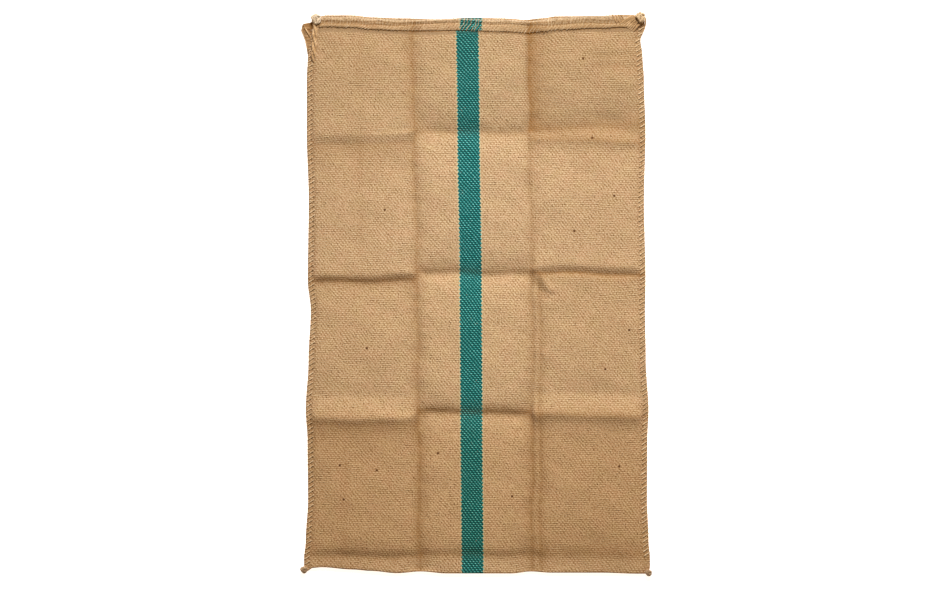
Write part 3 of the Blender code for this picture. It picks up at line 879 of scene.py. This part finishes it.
def fibre(draw, start, heading, lift, long):
    """A short hair that leaves its yarn, bends over and tapers out."""
    path = []
    turn = draw.uniform(-0.7, 0.7)
    x, y, z = start
    for step in range(4):
        path.append((x, y, max(z, 0.2), HAIR - HAIR_TAPER * step))
        reach = long / 3.0
        x += reach * math.cos(heading)
        y += reach * math.sin(heading)
        z += lift * reach
        lift -= draw.uniform(0.1, 0.5)
        heading += turn
    return path


def loose_fibres(finish):
    """Hairs along the mouth, the seams and the knots, and a few over the whole cloth."""
    draw = np.random.default_rng(31)
    paths = []
    for _ in range(HAIRS_HEM):
        x = draw.uniform(-318.0, 326.0)
        front = draw.random() < 0.6
        share = draw.uniform(-0.02, 0.25)
        start = (x, *hem_place(x, share, front))
        heading = math.pi / 2.0 + draw.normal(0.0, 0.7)
        paths.append(fibre(draw, start, heading, draw.uniform(-0.1, 0.7), draw.uniform(3.0, 8.5)))
    for _ in range(HAIRS_SEAMS):
        y = draw.uniform(-545.0, 545.0)
        column, out = (1, -1.0) if draw.random() < 0.5 else (2, 1.0)
        x = float(eased(y, SIDES, column)) - out * draw.uniform(0.0, 8.0)
        z = top_at(x, y) + 0.6
        heading = (0.0 if out > 0.0 else math.pi) + draw.normal(0.0, 0.9)
        paths.append(fibre(draw, (x, y, z), heading, draw.uniform(-0.1, 0.6), draw.uniform(2.5, 7.0)))
    for _ in range(HAIRS_CLOTH):
        x, y = draw.uniform(-320.0, 320.0), draw.uniform(-540.0, 515.0)
        start = (x, y, top_at(x, y))
        heading = draw.uniform(0.0, TAU)
        paths.append(fibre(draw, start, heading, draw.uniform(0.3, 0.9), draw.uniform(3.0, 8.0)))
    for middle, half, _ in KNOTS.values():
        middle, half = np.array(middle), np.array(half)
        for _ in range(HAIRS_MOUTH_KNOT if middle[1] > 0.0 else HAIRS_BOTTOM_KNOT):
            heading, tip = draw.uniform(0.0, TAU), draw.uniform(-0.2, 1.0)
            flat = math.sqrt(1.0 - tip * tip)
            start = middle + 0.8 * half * (flat * math.cos(heading), flat * math.sin(heading), tip)
            paths.append(fibre(draw, start, heading, 0.7 * tip, draw.uniform(2.0, 4.2)))
    return tubes("loose_fibres", paths, finish, step=1.6, sides=3, plies=0, lay=50.0, groove=0.0)


# ---- Finishes ----
def linear(code):
    """A colour given as sRGB hex, in linear light."""
    parts = [int(code[i:i + 2], 16) / 255.0 for i in (1, 3, 5)]
    return tuple(p / 12.92 if p <= 0.04045 else ((p + 0.055) / 1.055) ** 2.4 for p in parts) + (1.0,)


def add(tree, kind, inputs, **settings):
    """Adds a node with its settings, and sets or links its inputs. Gives back its outputs."""
    made = tree.nodes.new(kind)
    for name, value in settings.items():
        setattr(made, name, value)
    for name, value in inputs.items():
        if isinstance(value, bpy.types.NodeSocket):
            tree.links.new(value, made.inputs[name])
        else:
            made.inputs[name].default_value = value
    return made.outputs


def maths(operation, *values, clamp=False):
    """The result of a sum on numbers and outputs of nodes."""
    tree = next(value for value in values if isinstance(value, bpy.types.NodeSocket)).id_data
    return add(tree, "ShaderNodeMath", dict(enumerate(values)), operation=operation, use_clamp=clamp)[0]


def vectors(operation, first, second, third=(0.0, 0.0, 0.0)):
    """The same for vectors, the first of them an output."""
    inputs = {0: first, 1: second, 2: third}
    made = add(first.id_data, "ShaderNodeVectorMath", inputs, operation=operation)
    return made["Value" if operation in ("DOT_PRODUCT", "DISTANCE") else "Vector"]


def noise(place, scale, detail=1.0, output="Fac"):
    """Cloudy noise over a place."""
    inputs = {"Vector": place, "Scale": scale, "Detail": detail}
    return add(place.id_data, "ShaderNodeTexNoise", inputs)[output]


def mapped(value, low, high, to_low=0.0, to_high=1.0):
    """A value from low to high, spread from to_low to to_high."""
    inputs = {"Value": value, 1: low, 2: high, 3: to_low, 4: to_high}
    return add(value.id_data, "ShaderNodeMapRange", inputs)[0]


def mixed(share, first, second, blend="MIX"):
    """Two colours mixed by a share."""
    inputs = {0: share, 6: first, 7: second}
    return add(first.id_data, "ShaderNodeMix", inputs, data_type="RGBA", blend_type=blend)[2]


def coloured(value, stops):
    """A colour read off a ramp, whose stops are given as place and colour."""
    made = add(value.id_data, "ShaderNodeValToRGB", {0: value})[0]
    steps = made.node.color_ramp.elements
    while len(steps) < len(stops):
        steps.new(0.5)
    for step, (place, code) in zip(steps, stops):
        step.position = place
        step.color = linear(code)
    return made


def surface(tree, shader, colour, height, strength, distance):
    """Gives a shader its colour and its bump."""
    tree.links.new(colour, shader.inputs["Base Color"])
    bump = add(tree, "ShaderNodeBump", {"Strength": strength, "Distance": distance, "Height": height})
    tree.links.new(bump[0], shader.inputs["Normal"])


def cloth_shader(name, roughness, sheen):
    """A new material: its node tree, and its shader with a cloth's finish."""
    made = bpy.data.materials.new(name)
    made.use_nodes = True
    shader = made.node_tree.nodes["Principled BSDF"]
    for socket, value in (
        ("Roughness", roughness), ("IOR", 1.5), ("Specular IOR Level", 0.25), ("Sheen Weight", sheen),
        ("Sheen Roughness", 0.5),
    ):
        shader.inputs[socket].default_value = value
    return made, made.node_tree, shader


# The twill as a lattice: dots of weft along a row, rows along the warp, and how far each row lies to
# the right of the row above. The real weave, with roughly 3 mm to a pick and 2.4 mm to a warp pair, is
# too fine to show at the size of the render. It is drawn coarser: each dot stands for about three warp
# pairs and four thirds of a pick.
DOT_PITCH = 6.94
ROW_PITCH = 4.13
ROW_SHIFT = 3.32
PAIR_PITCH = 2.4
FLOAT = 2.6  # size of the grain in the floats
STRIPE_HALF = 21.7
NOTCH_PITCH = 8.2
# scale, detail and reach of the yarns' wander: over a region, and along each yarn
WANDER = ((1 / 65, 0.5, (9.0, 8.0, 0.0)), (1 / 8, 2.0, (0.7, 0.4, 0.0)))
# x, y of each fleck of bark
FLECKS = (
    (212.6, 470), (230.6, 312), (274.6, 196), (194.6, 126), (-183.4, 168), (-219.4, -108),
    (304.6, -72), (256.6, -150), (-77.4, -318), (-199.4, -352), (-273.4, -342),
    (284.6, -344), (-265.4, -410), (70.6, -404),
)
JUTE = ((0.0, "#5E3E20"), (0.3, "#AC875D"), (0.55, "#CFAD86"), (1.0, "#E8CFAA"))
BALES = ((0.3, "#B9B58C"), (0.5, "#BFB09A"), (0.7, "#CCA99C"))
GREEN = ((0.1, "#023C3A"), (0.5, "#046560"), (0.75, "#168D85"), (1.0, "#9AEDE4"))
# share of the length from the bottom fold, and the tint and painted shade there, which set each row's
# brightness
LENGTH_SHADE_AND_TINT = (
    (0.0, "#FFFAF2"), (0.02, "#FFFAF2"), (0.035, "#F6EDDE"), (0.25, "#F8F0E4"), (0.31, "#FFFDF8"),
    (0.5, "#FFFDF8"), (0.57, "#FAF9F7"), (0.72, "#FAF9F7"), (0.85, "#E8E7E2"), (1.0, "#E3DFD7"),
)


def jute_twill():
    """Double-warp jute twill, loom-woven from undyed yarn with a green warp stripe: matt and hairy,
    with bright floats, dark gaps between them, uneven yarns and a few flecks of bark."""
    made, tree, shader = cloth_shader("jute_twill_loom_woven", 0.9, 0.12)
    place = add(tree, "ShaderNodeUVMap", {}, uv_map="weave")["UV"]
    plain = add(tree, "ShaderNodeSeparateXYZ", {0: place})
    near = place
    for scale, detail, reach in WANDER:
        way = vectors("SUBTRACT", noise(place, scale, detail, "Color"), (0.5, 0.5, 0.5))
        near = vectors("MULTIPLY_ADD", way, reach, near)
    # the lattice: one wave across the twill lines, one for every row and one for every other row
    lattice = (
        (TAU / DOT_PITCH, TAU * ROW_SHIFT / DOT_PITCH / ROW_PITCH, 0.0),
        (0.0, TAU / ROW_PITCH, 0.0),
        (0.0, TAU / ROW_PITCH / 2.0, 0.0),
    )
    lines, rows, pairs = (maths("COSINE", vectors("DOT_PRODUCT", near, wave)) for wave in lattice)
    # the twill lines and the rows stand out by turns from region to region
    region = noise(place, 1 / 38)
    line_share = mapped(region, 0.38, 0.66, 0.24, 0.40)
    row_share = mapped(region, 0.35, 0.6, 0.48, 0.28)
    weave = maths("MULTIPLY", maths("MULTIPLY_ADD", pairs, 0.14, rows), row_share)
    weave = maths("MULTIPLY_ADD", lines, line_share, weave)
    weave = maths("MULTIPLY_ADD", maths("MULTIPLY", lines, rows), 0.42, weave)
    # uneven yarns: streaks along the warp and the weft, and how each float differs from the next
    warp_streaks = noise(vectors("MULTIPLY", near, (1 / PAIR_PITCH, 1 / 14, 0.0)), 1.0)
    weft_streaks = noise(vectors("MULTIPLY", place, (1 / 12, 1 / 2.6, 0.0)), 1.0)
    streaks = maths("SUBTRACT", maths("ADD", warp_streaks, weft_streaks), 1.0)
    beside = noise(vectors("ADD", place, (2.4, 2.2, 0.0)), 1 / FLOAT)
    grains = maths("SUBTRACT", noise(place, 1 / FLOAT), beside)
    uneven = maths("MULTIPLY_ADD", grains, 1.8, streaks)
    tone = mapped(maths("ADD", weave, uneven), -1.3, 1.3)
    # slow drifts of colour from bale to bale: greenish and reddish tan
    tint = coloured(noise(place, 1 / 30, 3.0), BALES)
    jute = mixed(0.2, coloured(tone, JUTE), tint, "OVERLAY")
    # the dyed warp, whose edges step in and out with the twill, beside a paler line of undyed yarn
    level = add(tree, "ShaderNodeSeparateXYZ", {0: near})["Y"]
    step = maths("COSINE", maths("MULTIPLY", level, TAU / NOTCH_PITCH))
    aside = maths("ABSOLUTE", plain["X"])
    in_stripe = maths("LESS_THAN", aside, maths("MULTIPLY_ADD", step, 1.1, STRIPE_HALF))
    by_edge = maths("MULTIPLY", maths("LESS_THAN", aside, STRIPE_HALF + 2.0), 0.45)
    jute = mixed(by_edge, jute, linear("#D6D2A6"))
    # its floats lie evenly: bright dots where a twill line and a row cross
    dots = maths("MULTIPLY_ADD", uneven, 0.6, maths("ADD", lines, rows))
    green = coloured(mapped(dots, -1.5, 2.1), GREEN)
    colour = mixed(in_stripe, jute, green)
    # painted shade and a slight tint set each row's brightness along the length; painted shade in the
    # folds and at the edges shows less on the dyed yarns; below 0 the rims turn grey, the back one's as
    # painted shade
    level = maths("MULTIPLY", maths("ABSOLUTE", plain["Y"]), 1 / LENGTH)
    colour = mixed(1.0, colour, coloured(level, LENGTH_SHADE_AND_TINT), "MULTIPLY")
    # the worn attribute: painted shade along the folds and edges, darker tones there, and below 0 the
    # rims' grey
    worn = add(tree, "ShaderNodeAttribute", {}, attribute_name="worn")["Fac"]
    takes_shade = maths("MULTIPLY_ADD", in_stripe, -2.1, 2.6)
    # how strongly the painted shade darkens the cloth towards a dark brown
    dusty = maths("MULTIPLY", worn, takes_shade, clamp=True)
    colour = mixed(dusty, colour, linear("#82510F"))
    # below 0 the rims turn grey: the back rim's grey is painted shade
    rim_grey_and_shade = maths("MULTIPLY", worn, -1.0, clamp=True)
    colour = mixed(rim_grey_and_shade, colour, linear("#A8957C"))
    # flecks of bark spun into the yarn
    spots = None
    for x, y in FLECKS:
        fleck = (np.interp(x, mark_places(y), WARP_MARKS), y + HALF, 0.0)
        away = vectors("DISTANCE", place, fleck)
        spots = away if spots is None else maths("MINIMUM", spots, away)
    colour = mixed(mapped(spots, 1.7, 3.1, 0.95, 0.0), colour, linear("#5A3004"))
    # yarns stand half a millimetre over the gaps between them
    surface(tree, shader, colour, tone, 0.7, 0.0008)
    return made


def jute_twine(name, dark, middle, light):
    """Two-ply jute twine, spun and twisted: matt, with the fibres' streaks winding along each ply."""
    made, tree, shader = cloth_shader(name, 0.85, 0.2)
    place = add(tree, "ShaderNodeUVMap", {}, uv_map="yarn")["UV"]
    streaks = noise(vectors("MULTIPLY", place, (7.0, 0.16, 0.0)), 1.0, 3.0)
    drift = noise(add(tree, "ShaderNodeTexCoord", {})["Object"], 60.0, 2.0)
    tone = maths("MULTIPLY", maths("ADD", streaks, drift), 0.5)
    colour = coloured(tone, ((0.32, dark), (0.5, middle), (0.68, light)))
    surface(tree, shader, colour, streaks, 0.6, 0.0003)
    return made


# ---- Stage ----
FLOOR_REACH = 120.0  # metres, so that no view from low down sees its edge near the sack


def floor():
    """A plain pale sheet of card, far wider than the view."""
    made, tree, shader = cloth_shader("matt_white_card", 0.95, 0.0)
    grain = add(tree, "ShaderNodeTexNoise", {"Scale": 3.0, "Detail": 2.0})["Fac"]
    colour = coloured(grain, ((0.0, "#FCFCFC"), (1.0, "#FFFFFF")))
    tree.links.new(colour, shader.inputs["Base Color"])
    # a glow of its own, so that it reads as white, as the backdrop in the photo does
    shader.inputs["Emission Color"].default_value = (1.0, 0.93, 0.86, 1.0)
    shader.inputs["Emission Strength"].default_value = 1.0
    mesh = bpy.data.meshes.new("floor")
    corners = [(x * FLOOR_REACH, y * FLOOR_REACH, 0.0) for x, y in ((-1, -1), (1, -1), (1, 1), (-1, 1))]
    mesh.from_pydata(corners, [], [(0, 1, 2, 3)])
    mesh.materials.append(made)
    put("floor", mesh)


LIGHT_PLACE = (0.45, 3.45, 2.75)
LIGHT_SIZE, LIGHT_POWER, LIGHT_COLOUR = 1.3, 288.0, (1.0, 1.047, 1.115)
ROOM_COLOUR, ROOM_STRENGTH = (1.0, 0.74, 0.42, 1.0), 0.2


def studio():
    """A square soft light beyond the mouth, a little to the right, in a dim warm room."""
    lamp = bpy.data.lights.new("key_light", "AREA")
    lamp.size = LIGHT_SIZE
    lamp.energy = LIGHT_POWER
    lamp.color = LIGHT_COLOUR
    made = put("key_light", lamp)
    made.location = LIGHT_PLACE
    x, y, z = LIGHT_PLACE
    # it faces the middle of the sack
    made.rotation_euler = (math.atan2(math.hypot(x, y), z), 0.0, math.atan2(x, -y))
    world = bpy.data.worlds.new("pale_studio")
    world.use_nodes = True
    world.node_tree.nodes["Background"].inputs["Color"].default_value = ROOM_COLOUR
    world.node_tree.nodes["Background"].inputs["Strength"].default_value = ROOM_STRENGTH
    bpy.context.scene.world = world
    bpy.context.scene.view_settings.view_transform = "Standard"


LENS = 85.0
SENSOR = 36.0
VIEW_WIDE = 1.9  # metres across the view at the sack's height
VIEW_MIDDLE = (-0.0034, -0.012)
SACK_TOP = 0.005  # height at which its outline lies


def camera():
    """Straight above the sack, with the mouth at the top of the view."""
    lens = bpy.data.cameras.new("camera")
    lens.lens = LENS
    lens.sensor_width = SENSOR
    made = put("camera", lens)
    made.location = (*VIEW_MIDDLE, VIEW_WIDE * LENS / SENSOR + SACK_TOP)
    bpy.context.scene.camera = made


# ---- Putting it together ----
def main():
    camera()
    studio()
    floor()
    twill = jute_twill()
    sewing = jute_twine("jute_twine_two_ply", "#86663E", "#BC9A6E", "#E2C8A2")
    pale = jute_twine("jute_twine_pale", "#8F6F46", "#C7A67B", "#E6CCA6")
    worn = jute_twine("jute_twine_weathered", "#AB8C66", "#CBB18F", "#E8D8C0")
    dusty = jute_twine("jute_twine_dusty", "#7A5630", "#B48C5C", "#DDB98C")
    soiled = jute_twine("jute_twine_soiled", "#6E5236", "#A0805C", "#C4A684")
    cloth = sack_cloth(twill)
    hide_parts("sack_cloth")
    sewn = [
        seam_stitches("seam_stitches_left", 1, pale),
        seam_stitches("seam_stitches_right", 2, pale),
        hem_stitches("hem_stitches_front", True, sewing),
        hem_stitches("hem_stitches_back", False, sewing),
        mouth_left_strand(dusty),
        ear_yarns(dusty),
        mouth_right_bundle(dusty),
        loose_fibres(worn),
    ]
    for node, twine in (
        ("knot_bottom_left", soiled), ("knot_bottom_right", soiled), ("knot_mouth_left", worn),
        ("knot_mouth_right", pale),
    ):
        sewn.append(corner_knot(node, twine))
    for piece in [cloth] + sewn:
        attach(piece, "root")


main()
